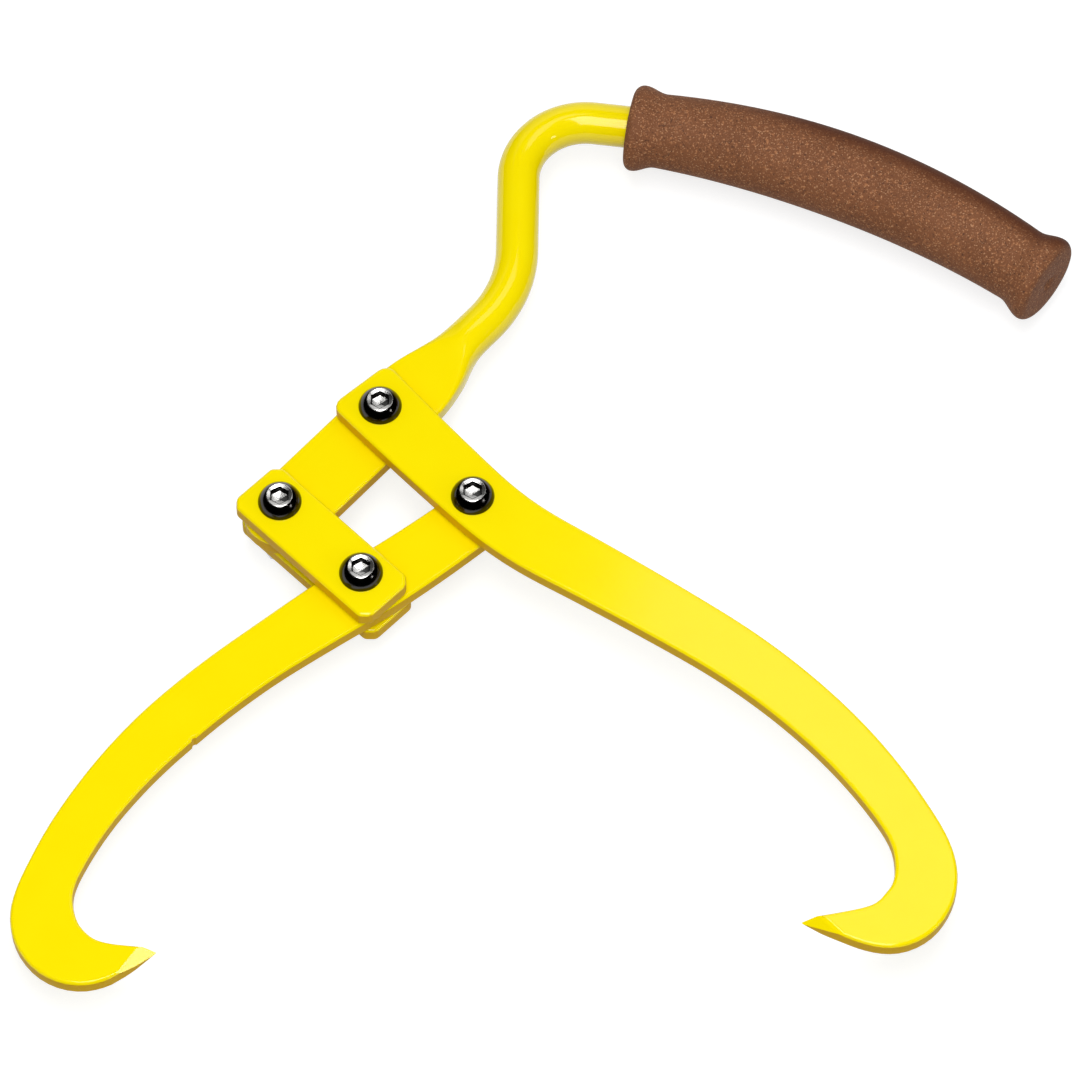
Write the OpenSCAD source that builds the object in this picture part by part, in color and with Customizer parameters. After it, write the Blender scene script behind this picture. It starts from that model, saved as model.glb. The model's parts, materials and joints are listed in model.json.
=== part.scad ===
// Log lifting tongs: two hooked jaws on a four-pivot linkage, and a bent carrying bar with a moulded grip.
// The bar's flat end carries the right arm and a pair of links. The arms cross at the jaw pivot and the
// links hold the left arm's upper end, so a pull on the grip drives both hooks into the log.

/* [Linkage] */
// Slope of the handle's flat end, from the link pivot up to the arm pivot, in degrees
handle_lean = 48.3; // [42:0.1:54]
// Slope of the line from the arm pivot down to the jaw pivot, in degrees
arm_lean = 48.2; // [42:0.1:54]
// Distance between the link pivot and the arm pivot on the handle
handle_crank_l = 47.5; // [44:0.5:54]
// Distance between the arm pivot and the jaw pivot on the right arm
arm_crank_l = 45; // [42:0.5:50]
// Distance between the jaw pivot and the toe pivot on the left arm
jaw_crank_l = 45; // [42:0.5:50]
// Distance between the two pivots of a link
link_crank_l = 37; // [34:0.5:44]

/* [Plates] */
// Thickness of the arms, the links and the handle's flat end
plate_t = 6; // [5:0.5:8]
// Thickness of the washers that keep two plates apart, which is the gap between the plates
shim_t = 0.5; // [0.3:0.1:1]

/* [Right arm] */
// Plate that stands out past the arm pivot
right_end_l = 11; // [10:0.5:16]
// How far the plate's middle line runs to the outside of the arm pivot at its end
right_end_shift = 0.6; // [0:0.1:2]
// Turn of the plate's end from the line through its two pivots, in degrees
right_end_turn = -0.7; // [-4:0.1:4]
// Length and turn of the shank that both pivots go through
right_shank_l = 57.5; // [50:0.5:64]
right_shank_turn = 2.9; // [-4:0.1:8]
// Length and turn of the elbow below the jaw pivot
right_elbow_l = 29.9; // [26:0.1:36]
right_elbow_turn = 14.9; // [8:0.1:22]
// Length and turn of the reach out to the side
right_reach_l = 56.9; // [45:0.1:70]
right_reach_turn = -2.9; // [-8:0.1:4]
// Length and turn of the bow that starts the way down
right_bow_l = 51.2; // [40:0.1:60]
right_bow_turn = -13.3; // [-20:0.1:-5]
// Length and turn of the neck above the hook
right_neck_l = 43.1; // [34:0.1:54]
right_neck_turn = -14.4; // [-22:0.1:-8]
// Length and turn of the first part of the hook
right_hook_l = 16.8; // [13:0.1:21]
right_hook_turn = -27.6; // [-36:0.1:-20]
// Length and turn of the hook's crown
right_crown_l = 18.4; // [15:0.1:23]
right_crown_turn = -57; // [-64:0.1:-48]
// Length and turn of the hook's way back to the point
right_return_l = 9.1; // [7:0.1:12]
right_return_turn = -38.4; // [-44:0.1:-30]
// Length and turn of the point
right_point_l = 21.8; // [16:0.1:27]
right_point_turn = -4.4; // [-12:0.1:2]
// Width of the plate at its end, at the end of the elbow, of the bow and where the hook begins
right_end_w = 24; // [21:0.5:28]
right_elbow_w = 21.9; // [19:0.1:25]
right_bow_w = 18; // [15:0.1:21]
right_hook_w = 19.7; // [16:0.1:22]
// Width of the plate at the root of the point
right_point_w = 14.5; // [12:0.1:17]

/* [Left arm] */
// Plate that stands out past the jaw pivot
left_end_l = 11; // [10:0.5:16]
// How far the plate's middle line runs above the jaw pivot at its end
left_end_shift = 1.9; // [0:0.1:3]
// Turn of the plate's end from the line through its two pivots, in degrees
left_end_turn = 3.4; // [0:0.1:8]
// Length and turn of the shank that both pivots go through
left_shank_l = 56.5; // [50:0.5:64]
left_shank_turn = -6.7; // [-14:0.1:0]
// Length and turn of the elbow past the toe pivot
left_elbow_l = 38.4; // [32:0.1:46]
left_elbow_turn = 2.3; // [-4:0.1:8]
// Length and turn of the reach
left_reach_l = 39.9; // [32:0.1:50]
left_reach_turn = 8.2; // [2:0.1:14]
// Length and turn of the bow that starts the way down
left_bow_l = 37.3; // [30:0.1:45]
left_bow_turn = 11.9; // [5:0.1:18]
// Length and turn of the neck above the hook
left_neck_l = 27.8; // [21:0.1:34]
left_neck_turn = 11.8; // [6:0.1:20]
// Length and turn of the first part of the hook
left_hook_l = 14.5; // [11:0.1:18]
left_hook_turn = 29.1; // [20:0.1:36]
// Length and turn of the hook's crown
left_crown_l = 15.9; // [13:0.1:21]
left_crown_turn = 55.9; // [50:0.1:66]
// Length and turn of the hook's way back to the point
left_return_l = 11.7; // [8:0.1:14]
left_return_turn = 41.5; // [30:0.1:46]
// Length and turn of the point
left_point_l = 15.2; // [11:0.1:20]
left_point_turn = 2.4; // [-4:0.1:10]
// Width of the plate at its end, at the end of the elbow, of the bow and where the hook begins
left_end_w = 20; // [18:0.5:25]
left_elbow_w = 19.4; // [16:0.1:22]
left_bow_w = 17; // [14:0.1:19]
left_hook_w = 20.8; // [17:0.1:23]
// Width of the plate at the root of the point
left_point_w = 13; // [11:0.1:16]
// Nick in the inner edge where the cut began and ended: how far past the elbow it is, and its depth
left_nick_at = 37.8; // [20:0.1:39]
left_nick_depth = 0.5; // [0.2:0.1:1]

/* [Both arms] */
// Width of the shank past its second pivot
shank_w = 22; // [19:0.5:26]
// Width at the end of the reach of the right and of the left arm
right_reach_w = 19.7; // [16:0.1:22]
left_reach_w = 19; // [16:0.1:22]
// Width at the narrowest place, above the hook
neck_w = 16.5; // [13:0.1:19]
// Width at the hook's crown
crown_w = 19.8; // [16:0.1:22]
// Width left at the very point
point_end_w = 0.4; // [0.2:0.1:1]
// Radius of the two rounded corners of the plate's end
arm_corner_r = 4; // [2:0.5:7]
// Length of the facet that is ground on each face of the point
grind_l = 4.5; // [3:0.5:8]
// How far the very point lies below the middle of the plate's thickness
grind_drop = 1; // [0:0.25:2]
// Angle of that facet to the point's own direction, in degrees
grind_skew = 54; // [30:1:60]

/* [Links] */
// Link that stands out past the heel pivot, on the handle
link_heel_l = 11; // [9:0.1:14]
// Link that stands out past the toe pivot, on the left arm
link_toe_l = 13.4; // [9:0.1:16]
// Width of the link
link_w = 21; // [18:0.5:24]
// How far the link's middle line lies outside its pivots
link_shift = 0.95; // [0:0.05:2]
// Corner cut off each end of the link
link_corner = 2.8; // [2:0.1:6]

/* [Handle] */
// Width of the flat end on the side of the jaws, from the pivot line
flat_near_w = 13.3; // [12:0.1:15]
// Width of the flat end on the far side, from the pivot line
flat_far_w = 11.3; // [10:0.1:12]
// Rounded end of the flat plate past the heel pivot
flat_end_l = 12; // [11:0.5:15]
// Flat plate past the arm pivot, where the neck begins
neck_start_l = 12; // [10:0.5:16]
// Length of the neck on the far side
neck_far_l = 24; // [20:1:34]
// Length of the neck on the side of the jaws
neck_near_l = 36; // [30:1:46]
// Diameter of the round bar
bar_d = 14; // [12:0.5:16]
// How far the round bar's middle line lies beside the pivot line
bar_shift = -0.2; // [-1:0.1:1]
// Straight bar between the neck and the first bend
bar_stem_l = 1.3; // [1:0.1:12]
// Radius and angle of the first bend
bar_knee_r = 43.5; // [35:0.5:55]
bar_knee_turn = 40.8; // [34:0.1:46]
// Straight bar between the two bends
bar_rise_l = 28.3; // [20:0.1:40]
// Radius and angle of the second bend
bar_crook_r = 22.3; // [18:0.1:30]
bar_crook_turn = -96.5; // [-102:0.1:-90]
// Straight bar past the second bend
bar_lead_l = 11.8; // [9:0.1:20]
// Radius of the bow in which the bar runs through the grip
bar_bow_r = 260; // [200:5:400]

/* [Grip] */
// Length of the grip
grip_l = 152; // [130:0.5:170]
// Solid end of the grip past its hole
grip_end_wall = 7.5; // [5:0.5:20]
// Gap between the end of the bar and the bottom of the hole
grip_end_gap = 1; // [0.5:0.5:3]
// Play between the grip's hole and the bar, on the radius
grip_play = 0.15; // [0.1:0.05:0.3]
// Angles by which the grip's mouth and its end are off square
mouth_skew = 4; // [0:0.5:6]
end_skew = -3; // [-6:0.5:0]
// Diameter of the collar at the grip's mouth
collar_d = 28.8; // [26:0.2:34]
// Diameter of the waist behind the collar
waist_d = 24.8; // [22:0.2:27]
// Diameter of the palm swell at the grip's middle
palm_d = 28.6; // [26:0.2:32]
// Diameter of the hollow before the end flange
heel_d = 25.4; // [23:0.2:29]
// Diameter of the end flange
flange_d = 30; // [27:0.2:34]
// Distance of the waist and the palm swell from the mouth, and of the heel hollow from the end
waist_at = 10.5; // [8:0.5:14]
palm_at = 75; // [60:1:90]
heel_from_end = 11.5; // [8:0.5:20]
// Rounding of the grip's two rims
rim_r = 3; // [2:0.5:4]
// Width and depth of the dimple in the closed end
dimple_d = 8; // [5:0.5:12]
dimple_depth = 1; // [0.5:0.1:2]

/* [Fasteners] */
// Thread diameter of the four pivot screws
screw_d = 8; // [6:0.5:8]
// Diameter of the button head
head_d = 14; // [12:0.5:16]
// Height of the button head
head_h = 4.4; // [3.5:0.1:5]
// Diameter of the flat on top of the button head
head_flat_d = 8; // [7:0.2:9]
// Height of the straight rim under the dome
head_rim_h = 0.4; // [0.2:0.1:0.8]
// Width across the flats of the hexagon socket
socket_w = 5; // [4:0.5:5.5]
// Depth of the hexagon socket
socket_depth = 2.6; // [2:0.1:3]
// Thread that stands out of the nut at the screws through two plates and at those through three plates
short_thread_end = 2.9; // [0.5:0.1:6]
long_thread_end = 0.9; // [0.5:0.1:6]
// Play between a pivot screw and a plate that turns on it, on the radius
pivot_play = 0.08; // [0.05:0.01:0.1]
// Play of the left arm's hole round the toe screw, on the radius
toe_play = 1.25; // [1.1:0.05:1.5]
// Play between a screw and its nut, on the radius
thread_play = 0.05; // [0.02:0.01:0.1]
// Outer diameter and thickness of the flat washer under each nut
washer_d = 16; // [14:0.5:17]
washer_t = 1.6; // [1:0.1:2]
// Play between the flat washer and the screw, on the radius
washer_play = 0.2; // [0.1:0.05:0.4]
// Outer diameter of the thin washers between the plates
shim_d = 14; // [12:0.5:18]
// Width across the flats of the lock nut
nut_w = 13; // [12:0.5:14]
// Height of the nut's hexagon
nut_hex_h = 6.2; // [5:0.1:7]
// Height of the whole nut with its collar
nut_h = 8; // [7.5:0.1:9]
// Diameter of the nut's round collar
nut_collar_d = 12; // [11:0.2:12.4]
// Outer diameter and thickness of the nylon ring in the collar
insert_d = 10.4; // [9.6:0.1:10.8]
insert_t = 2; // [1.5:0.1:2.5]
// Play between the nylon ring and its seat, on the radius
insert_play = 0.05; // [0.02:0.01:0.1]

/* [Hidden] */
$fn = 64;
yellow = "#ffe600";
grip_brown = "#6e4630";
steel = "#c9ccd0";
zinc = "#b9bcc0";
nylon = "#e9e9e4";

// Longest stride along a curved plate. Turn and width are evened out over this many strides either way.
stride = 2;
evened_n = 3;
// Steps round a rounded corner, radius of the nick's round cut, and points round the grip and the neck
corner_steps = 4;
nick_r = 1.2;
sides = 24;
// Sides of the grip's hole, round the bar and round the whole circle of its bow
hole_sides = 48;
bow_sides = 180;
// Overlap that fuses two stretches of one forged piece. The inner one's skin lies a hair below the outer one's.
fuse = 1;
skin = 0.05;
// Reach of a cutting tool past what it cuts
over = 1;

// Heights of the three layers of plates: the handle's flat end and the left arm lie in the middle one
layer_pitch = plate_t + shim_t;
plates_top = layer_pitch + plate_t / 2;
low_z = -layer_pitch;
// Lengths of the screws under the head, through two plates and through three plates
fastening_l = washer_t + nut_h;
short_screw_l = 2 * plate_t + shim_t + fastening_l + short_thread_end;
long_screw_l = 3 * plate_t + 2 * shim_t + fastening_l + long_thread_end;
bar_r = bar_d / 2;
screw_r = screw_d / 2;
pivot_r = screw_r + pivot_play;

function dir(a) = [cos(a), sin(a)];
function left_of(a) = [-sin(a), cos(a)];
function ease(t) = (1 - cos(180 * t)) / 2;
function mix(a, b, t) = a + (b - a) * t;

// The four pivots. The toe pivot is where a circle round the heel pivot meets one round the jaw pivot.
arm_pivot = [0, 0];
heel_pivot = -handle_crank_l * dir(handle_lean);
jaw_pivot = arm_crank_l * dir(-arm_lean);
heel_to_jaw = jaw_pivot - heel_pivot;
toe_along = (norm(heel_to_jaw) ^ 2 + link_crank_l ^ 2 - jaw_crank_l ^ 2) / (2 * norm(heel_to_jaw));
toe_aside = sqrt(link_crank_l ^ 2 - toe_along ^ 2);
toe_heading = atan2(heel_to_jaw[1], heel_to_jaw[0]) - atan2(toe_aside, toe_along);
toe_pivot = heel_pivot + link_crank_l * dir(toe_heading);
right_heading = -arm_lean;
left_heading = atan2(toe_pivot[1] - jaw_pivot[1], toe_pivot[0] - jaw_pivot[0]);

// A bent plate is walked along its middle line, in stages of [length, turn, width at the end].
// strides cuts the stages into short steps, evened takes the kinks out where two stages meet, and walk returns
// [point, heading, width] at each step.
function strides(stages, w) = [
    for (i = [0 : len(stages) - 1])
        let (
            stage = stages[i],
            n = ceil(stage[0] / stride),
            w0 = i == 0 ? w : stages[i - 1][2]
        )
        for (k = [1 : n]) [stage[0] / n, stage[1] / n, mix(w0, stage[2], k / n)]
];
function total(values) = len(values) == 0 ? 0 : [for (v = values) 1] * values;
function evened(steps) = [
    for (i = [0 : len(steps) - 1])
        let (
            n = min(evened_n, i, len(steps) - 1 - i),
            near = [for (k = [i - n : i + n]) steps[k]]
        )
        [steps[i][0], total([for (s = near) s[1]]) / len(near), total([for (s = near) s[2]]) / len(near)]
];
function walk(start, heading, w, steps) = [
    for (
        i = 0, p = start, a = heading, v = w;
        i <= len(steps);
        p = i < len(steps) ? p + steps[i][0] * dir(a + steps[i][1] / 2) : p,
        a = i < len(steps) ? a + steps[i][1] : a,
        v = i < len(steps) ? steps[i][2] : v,
        i = i + 1
    ) [p, a, v]
];
function side_point(s, side) = s[0] + side * s[2] / 2 * left_of(s[1]);

// Outline of a walked plate whose square end has its two corners rounded
function end_corner(s, side, r) = let (centre = side_point(s, side) + r * dir(s[1]) - side * r * left_of(s[1])) [
    for (k = [0 : corner_steps])
        let (a = 90 / corner_steps * (side > 0 ? k : corner_steps - k))
        centre + r * (side * sin(a) * left_of(s[1]) - cos(a) * dir(s[1]))
];
function plate_outline(line, r) = let (s = line[0], last = len(line) - 1) concat(
    end_corner(s, 1, r),
    [for (i = [1 : last]) if (i * stride > r + stride / 2) side_point(line[i], 1)],
    [for (i = [last : -1 : 1]) if (i * stride > r + stride / 2) side_point(line[i], -1)],
    end_corner(s, -1, r)
);

right_stages = [
    [right_shank_l, right_shank_turn, shank_w],
    [right_elbow_l, right_elbow_turn, right_elbow_w],
    [right_reach_l, right_reach_turn, right_reach_w],
    [right_bow_l, right_bow_turn, right_bow_w],
    [right_neck_l, right_neck_turn, neck_w],
    [right_hook_l, right_hook_turn, right_hook_w],
    [right_crown_l, right_crown_turn, crown_w],
    [right_return_l, right_return_turn, right_point_w],
    [right_point_l, right_point_turn, point_end_w]
];
left_stages = [
    [left_shank_l, left_shank_turn, shank_w],
    [left_elbow_l, left_elbow_turn, left_elbow_w],
    [left_reach_l, left_reach_turn, left_reach_w],
    [left_bow_l, left_bow_turn, left_bow_w],
    [left_neck_l, left_neck_turn, neck_w],
    [left_hook_l, left_hook_turn, left_hook_w],
    [left_crown_l, left_crown_turn, crown_w],
    [left_return_l, left_return_turn, left_point_w],
    [left_point_l, left_point_turn, point_end_w]
];
right_start = arm_pivot - right_end_l * dir(right_heading) + right_end_shift * left_of(right_heading);
left_start = jaw_pivot - left_end_l * dir(left_heading) + left_end_shift * left_of(left_heading);
right_steps = evened(strides(right_stages, right_end_w));
left_steps = evened(strides(left_stages, left_end_w));
right_line = walk(right_start, right_heading + right_end_turn, right_end_w, right_steps);
left_line = walk(left_start, left_heading + left_end_turn, left_end_w, left_steps);
right_outline = plate_outline(right_line, arm_corner_r);
left_outline = plate_outline(left_line, arm_corner_r);
// Place of the nick on the left arm's inner edge
nick_index = ceil(left_shank_l / stride) + ceil(left_elbow_l / stride) + round(left_nick_at / stride);
nick = side_point(left_line[nick_index], 1) + (nick_r - left_nick_depth) * left_of(left_line[nick_index][1]);

// The round bar as legs of [straight length, 0] or [bend radius, angle], and [point, heading] at each joint
neck_l = max(neck_far_l, neck_near_l);
neck_end_l = neck_start_l + neck_l;
bar_start = arm_pivot + neck_end_l * dir(handle_lean) + bar_shift * left_of(handle_lean);
bar_legs = [
    [bar_stem_l, 0],
    [bar_knee_r, bar_knee_turn],
    [bar_rise_l, 0],
    [bar_crook_r, bar_crook_turn],
    [bar_lead_l, 0]
];
function leg_end(pose, leg) = leg[1] == 0
    ? [pose[0] + leg[0] * dir(pose[1]), pose[1]]
    : let (side = sign(leg[1]), centre = pose[0] + side * leg[0] * left_of(pose[1]))
        [centre - side * leg[0] * left_of(pose[1] + leg[1]), pose[1] + leg[1]];
bar_poses = [
    for (
        i = 0, pose = [bar_start, handle_lean];
        i <= len(bar_legs);
        pose = i < len(bar_legs) ? leg_end(pose, bar_legs[i]) : pose,
        i = i + 1
    ) pose
];
grip_pose = bar_poses[len(bar_legs)];
grip_hole_l = grip_l - grip_end_wall;
function bow_angle(l) = -l / bar_bow_r * 180 / PI;
function along_grip(l) = leg_end(grip_pose, [bar_bow_r, l == 0 ? -0.001 : bow_angle(l)]);

// The grip's radius at distance s from its mouth, in the order mouth, waist, palm, heel, flange, end
heel_at = grip_l - heel_from_end;
flange_at = grip_l - rim_r;
grip_profile = concat(
    [for (a = [0 : 30 : 90]) [rim_r * (1 - cos(a)), collar_d / 2 - rim_r * (1 - sin(a))]],
    [for (k = [1 : 5]) [mix(rim_r, waist_at, k / 5), mix(collar_d, waist_d, ease(k / 5)) / 2]],
    [for (k = [1 : 7]) [mix(waist_at, palm_at, k / 7), mix(waist_d, palm_d, sin(90 * k / 7)) / 2]],
    [for (k = [1 : 6]) [mix(palm_at, heel_at, k / 6), mix(palm_d, heel_d, 1 - cos(90 * k / 6)) / 2]],
    [for (k = [1 : 5]) [mix(heel_at, flange_at, k / 5), mix(heel_d, flange_d, ease(k / 5)) / 2]],
    [for (a = [22.5 : 22.5 : 90]) [flange_at + rim_r * sin(a), flange_d / 2 - rim_r * (1 - cos(a))]]
);
// Rings of points across the grip, as lists of [x, y, z]
function grip_ring(s, r) = let (pose = along_grip(s), skew = mix(mouth_skew, end_skew, s / grip_l)) [
    for (k = [0 : sides - 1])
        let (a = 360 * k / sides, q = pose[0] + r * cos(a) * left_of(pose[1] - skew))
        [q[0], q[1], r * sin(a)]
];
grip_rings = [for (row = grip_profile) grip_ring(row[0], row[1])];

// Skin over a row of rings, with a flat cap on the first and the last one
module loft(rings) {
    n = len(rings[0]);
    last = (len(rings) - 1) * n;
    points = [for (ring = rings) each ring];
    walls = [
        for (j = [0 : len(rings) - 2], k = [0 : n - 1])
            let (a = j * n + k, b = j * n + (k + 1) % n)
            each [[a, a + n, b + n], [a, b + n, b]]
    ];
    caps = [[for (k = [0 : n - 1]) k], [for (k = [n - 1 : -1 : 0]) last + k]];
    polyhedron(points, concat(walls, caps), convexity = 6);
}

// The box round the whole object at rest. Its bottom centre is the origin.
outline_points = concat(right_outline, left_outline, [for (ring = grip_rings) each ring]);
xs = [for (p = outline_points) p[0]];
ys = [for (p = outline_points) p[1]];
origin = [(min(xs) + max(xs)) / 2, (min(ys) + max(ys)) / 2, plates_top - long_screw_l];

// Moves a piece from the drawing, whose zero is the arm pivot in the handle's mid plane, to the origin
module placed() {
    translate(-origin) children();
}

module at_pivot(pivot, z) {
    translate([pivot[0], pivot[1], z]) children();
}

module bore(pivot, r) {
    at_pivot(pivot, -2 * layer_pitch) cylinder(h = 4 * layer_pitch, r = r);
}

// Grinds both faces of the plate down to the very point, by facets that face the given way
module grinding(tip, heading, z) {
    block = 8 * plate_t;
    for (face = [1, -1]) {
        slope = atan((plate_t / 2 + face * grind_drop) / grind_l);
        translate([tip[0], tip[1], z - grind_drop]) mirror([0, 0, face > 0 ? 0 : 1])
            rotate([0, slope, heading]) translate([-block / 2, -block / 2, 0]) cube(block);
    }
}

module walked_arm(outline, line, z, side) {
    tip = line[len(line) - 1];
    difference() {
        translate([0, 0, z - plate_t / 2]) linear_extrude(plate_t) polygon(outline);
        grinding(tip[0], tip[1] + side * grind_skew, z);
    }
}

module right_arm() {
    color(yellow) placed() difference() {
        walked_arm(right_outline, right_line, layer_pitch, 1);
        bore(arm_pivot, pivot_r);
        bore(jaw_pivot, pivot_r);
    }
}

module left_arm() {
    color(yellow) placed() difference() {
        walked_arm(left_outline, left_line, 0, -1);
        bore(jaw_pivot, pivot_r);
        bore(toe_pivot, screw_r + toe_play);
        bore(nick, nick_r);
    }
}

// A link at height z. The lower one is the same piece, turned over about its pivot line by side = -1.
module link(z, side) {
    near = -link_w / 2 - side * link_shift;
    far = link_w / 2 - side * link_shift;
    heel = -link_heel_l;
    toe = link_crank_l + link_toe_l;
    cut = link_corner;
    difference() {
        translate([heel_pivot[0], heel_pivot[1], z - plate_t / 2]) rotate(toe_heading)
            linear_extrude(plate_t) polygon([
                [heel + cut, near], [toe - cut, near], [toe, near + cut], [toe, far - cut],
                [toe - cut, far], [heel + cut, far], [heel, far - cut], [heel, near + cut]
            ]);
        bore(heel_pivot, pivot_r);
        bore(toe_pivot, pivot_r);
    }
}

module upper_link() {
    color(yellow) placed() link(layer_pitch, 1);
}

module lower_link() {
    color(yellow) placed() link(low_z, -1);
}

// Flat end of the handle, drawn along its pivot line with the arm pivot at zero
module handle_flat() {
    rotate(handle_lean) translate([0, 0, -plate_t / 2]) linear_extrude(plate_t) polygon(concat(
        [[neck_start_l, flat_far_w]],
        [
            for (a = [90 : 10 : 270])
                let (w = a < 180 ? flat_far_w : flat_near_w)
                [flat_end_l * cos(a) - handle_crank_l, w * sin(a)]
        ],
        [[neck_start_l, -flat_near_w]]
    ));
}

// The forged neck: its sections grow from the flat end's oblong into the bar's circle
neck_rings_n = 14;
function neck_ring(u) = let (
    t_far = ease(min(1, max(0, u / neck_far_l))),
    t_near = ease(min(1, max(0, u / neck_near_l))),
    t_up = ease(min(1, max(0, u / neck_l))),
    far = mix(flat_far_w - skin, bar_shift + bar_r - 2 * skin, t_far),
    near = mix(-flat_near_w + skin, bar_shift - bar_r + 2 * skin, t_near),
    half_h = mix(plate_t / 2 - skin, bar_r - 2 * skin, t_up),
    power = mix(0.12, 1, t_up),
    middle = (far + near) / 2,
    half_w = (far - near) / 2
) [
    for (k = [0 : 2 * sides - 1])
        let (
            a = 360 * (k + 0.5) / (2 * sides),
            c = cos(a),
            s = sin(a),
            v = middle + half_w * sign(c) * abs(c) ^ power,
            q = arm_pivot + (neck_start_l + u) * dir(handle_lean) + v * left_of(handle_lean)
        )
        [q[0], q[1], half_h * sign(s) * abs(s) ^ power]
];

// One leg of the bar. A straight one reaches into its neighbours, and a bend ends square.
module bar_leg(pose, leg) {
    side = sign(leg[1]);
    centre = pose[0] + side * leg[0] * left_of(pose[1]);
    if (side == 0) {
        translate(pose[0] - fuse * dir(pose[1])) rotate([0, 90, pose[1]])
            cylinder(h = leg[0] + 2 * fuse, r = bar_r - skin);
    } else {
        translate(centre) rotate(side > 0 ? pose[1] - 90 : pose[1] + 90 + leg[1])
            rotate_extrude(angle = abs(leg[1])) translate([leg[0], 0]) circle(bar_r);
    }
}

module round_bar() {
    for (i = [0 : len(bar_legs) - 1]) bar_leg(bar_poses[i], bar_legs[i]);
    bar_leg(grip_pose, [bar_bow_r, bow_angle(grip_hole_l - grip_end_gap)]);
}

module handle_bar() {
    color(yellow) placed() difference() {
        union() {
            handle_flat();
            loft([for (j = [0 : neck_rings_n]) neck_ring(mix(-fuse, neck_l, j / neck_rings_n))]);
            round_bar();
        }
        bore(arm_pivot, pivot_r);
        bore(heel_pivot, pivot_r);
    }
}

module grip() {
    dimple_r = (dimple_d ^ 2 / 4 + dimple_depth ^ 2) / (2 * dimple_depth);
    end_pose = along_grip(grip_l);
    color(grip_brown) placed() difference() {
        loft(grip_rings);
        translate(grip_pose[0] - bar_bow_r * left_of(grip_pose[1]))
            rotate(grip_pose[1] + 90 + bow_angle(grip_hole_l))
            rotate_extrude(angle = -bow_angle(grip_hole_l + over), $fn = bow_sides)
            translate([bar_bow_r, 0]) circle(bar_r + grip_play, $fn = hole_sides);
        translate(end_pose[0] + (dimple_r - dimple_depth) * dir(end_pose[1])) sphere(dimple_r);
    }
}

// Button head screw whose head seats on the top plate
module pivot_screw(pivot, length) {
    r = head_d / 2;
    flat_r = head_flat_d / 2;
    drop = (head_h ^ 2 - head_rim_h ^ 2 - r ^ 2 + flat_r ^ 2) / (2 * (head_h - head_rim_h));
    dome_r = norm([r, head_rim_h - drop]);
    color(steel) placed() at_pivot(pivot, plates_top) {
        difference() {
            union() {
                intersection() {
                    cylinder(h = head_h, r = r);
                    translate([0, 0, drop]) sphere(dome_r);
                }
                translate([0, 0, -length]) cylinder(h = length, r = screw_r);
            }
            translate([0, 0, head_h - socket_depth])
                cylinder(h = socket_depth + over, r = socket_w / 2 / cos(30), $fn = 6);
        }
    }
}

module ring(outer_r, inner_r, h) {
    difference() {
        cylinder(h = h, r = outer_r);
        translate([0, 0, -over]) cylinder(h = h + 2 * over, r = inner_r);
    }
}

module shim(pivot, z) {
    at_pivot(pivot, z) ring(shim_d / 2, pivot_r, shim_t);
}

module flat_washer(pivot, face_z) {
    color(zinc) placed() at_pivot(pivot, face_z - washer_t) ring(washer_d / 2, screw_r + washer_play, washer_t);
}

// Lock nut that hangs under its washer, with the collar and the nylon ring at the lower end
module lock_nut(pivot, face_z) {
    corner_r = nut_w / 2 / cos(30);
    seat_r = insert_d / 2 + insert_play;
    color(zinc) placed() at_pivot(pivot, face_z - washer_t) mirror([0, 0, 1]) difference() {
        union() {
            intersection() {
                cylinder(h = nut_hex_h, r = corner_r, $fn = 6);
                cylinder(h = nut_hex_h, r1 = corner_r + nut_hex_h, r2 = nut_w / 2 * 0.98);
                cylinder(h = nut_hex_h, r1 = nut_w / 2 * 0.98, r2 = corner_r + nut_hex_h);
            }
            cylinder(h = nut_h, r = nut_collar_d / 2);
        }
        translate([0, 0, -over]) cylinder(h = nut_h + 2 * over, r = screw_r + thread_play);
        translate([0, 0, nut_h - insert_t]) cylinder(h = insert_t + over, r = seat_r);
    }
}

module nylon_ring(pivot, face_z) {
    color(nylon) placed() at_pivot(pivot, face_z - washer_t - nut_h)
        ring(insert_d / 2, screw_r + thread_play, insert_t);
}

two_plates_z = -plate_t / 2;
three_plates_z = low_z - plate_t / 2;

module arm_pivot_screw() {
    pivot_screw(arm_pivot, short_screw_l);
}

module arm_pivot_shim() {
    color(zinc) placed() shim(arm_pivot, plate_t / 2);
}

module arm_pivot_washer() {
    flat_washer(arm_pivot, two_plates_z);
}

module arm_pivot_nut() {
    lock_nut(arm_pivot, two_plates_z);
}

module arm_pivot_insert() {
    nylon_ring(arm_pivot, two_plates_z);
}

module jaw_pivot_screw() {
    pivot_screw(jaw_pivot, short_screw_l);
}

module jaw_pivot_shim() {
    color(zinc) placed() shim(jaw_pivot, plate_t / 2);
}

module jaw_pivot_washer() {
    flat_washer(jaw_pivot, two_plates_z);
}

module jaw_pivot_nut() {
    lock_nut(jaw_pivot, two_plates_z);
}

module jaw_pivot_insert() {
    nylon_ring(jaw_pivot, two_plates_z);
}

// One thin washer above and one below the middle plate
module shim_pair(pivot) {
    color(zinc) placed() {
        shim(pivot, plate_t / 2);
        shim(pivot, -plate_t / 2 - shim_t);
    }
}

module heel_pivot_screw() {
    pivot_screw(heel_pivot, long_screw_l);
}

module heel_pivot_shims() {
    shim_pair(heel_pivot);
}

module heel_pivot_washer() {
    flat_washer(heel_pivot, three_plates_z);
}

module heel_pivot_nut() {
    lock_nut(heel_pivot, three_plates_z);
}

module heel_pivot_insert() {
    nylon_ring(heel_pivot, three_plates_z);
}

module toe_pivot_screw() {
    pivot_screw(toe_pivot, long_screw_l);
}

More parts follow.
